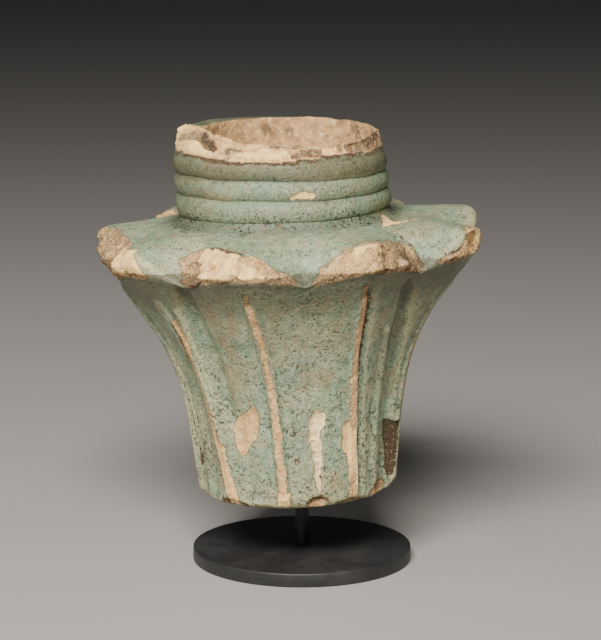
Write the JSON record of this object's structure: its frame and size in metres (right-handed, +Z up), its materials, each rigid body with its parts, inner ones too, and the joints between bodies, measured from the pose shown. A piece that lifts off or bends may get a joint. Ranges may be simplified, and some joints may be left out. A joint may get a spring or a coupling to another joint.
{
  "type": "column capital",
  "caption": "Small glazed faience column capital with flaring palm fronds, a banded neck and an open socket, on a steel rod and disc stand.",
  "frame": {"origin": "centre of the underside of the stand's disc", "axes": "+Z up along the rod, -Y towards the viewer of the picture, +X to the viewer's right"},
  "size_m": [0.1317, 0.1294, 0.1519],
  "materials": {
    "faience": "worn matt blue-green glaze over a pale buff body that shows where the glaze has chipped off",
    "stand_steel": "satin black paint"
  },
  "bodies": {
    "root": {"capital": "faience", "stand_disc": "stand_steel", "stand_rod": "stand_steel"}
  },
  "joints": []
}
